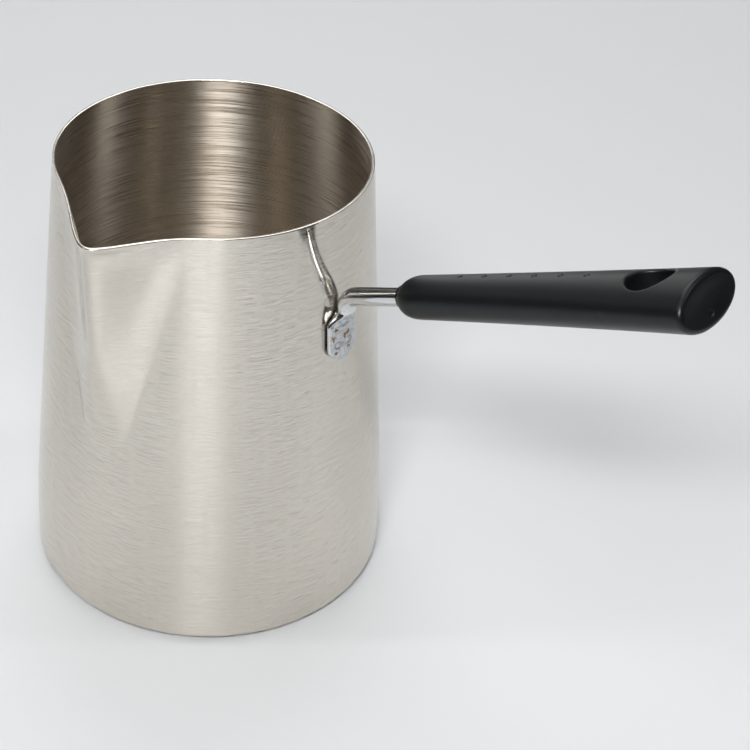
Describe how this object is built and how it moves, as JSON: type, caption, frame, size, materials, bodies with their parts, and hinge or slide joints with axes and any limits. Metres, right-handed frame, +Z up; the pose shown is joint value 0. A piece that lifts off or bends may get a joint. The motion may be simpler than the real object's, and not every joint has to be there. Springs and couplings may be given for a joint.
{
  "type": "candle melting pot",
  "caption": "Tapered steel pouring pot with a pressed V spout, a bent steel rod handle spot-welded to the wall, and a black plastic grip with a hanging hole.",
  "frame": {"origin": "centre of the flat underside, on the surface that the pot stands on", "axes": "+Z up; +X from the pot's axis along the handle, seen from above; the spout is pressed out at -85 degrees from +X about +Z, and its lip drifts to -81 degrees"},
  "size_m": [0.2195, 0.1165, 0.1715],
  "materials": {
    "sheet_steel": "polished outside with a faint level brush, satin brushed round the inside",
    "polished_rod_steel": "mirror polished",
    "black_grip_plastic": "matte moulded, fine grain"
  },
  "bodies": {
    "root": {"pot_body": "sheet_steel", "handle_rod": "polished_rod_steel", "grip": "black_grip_plastic"}
  },
  "joints": []
}
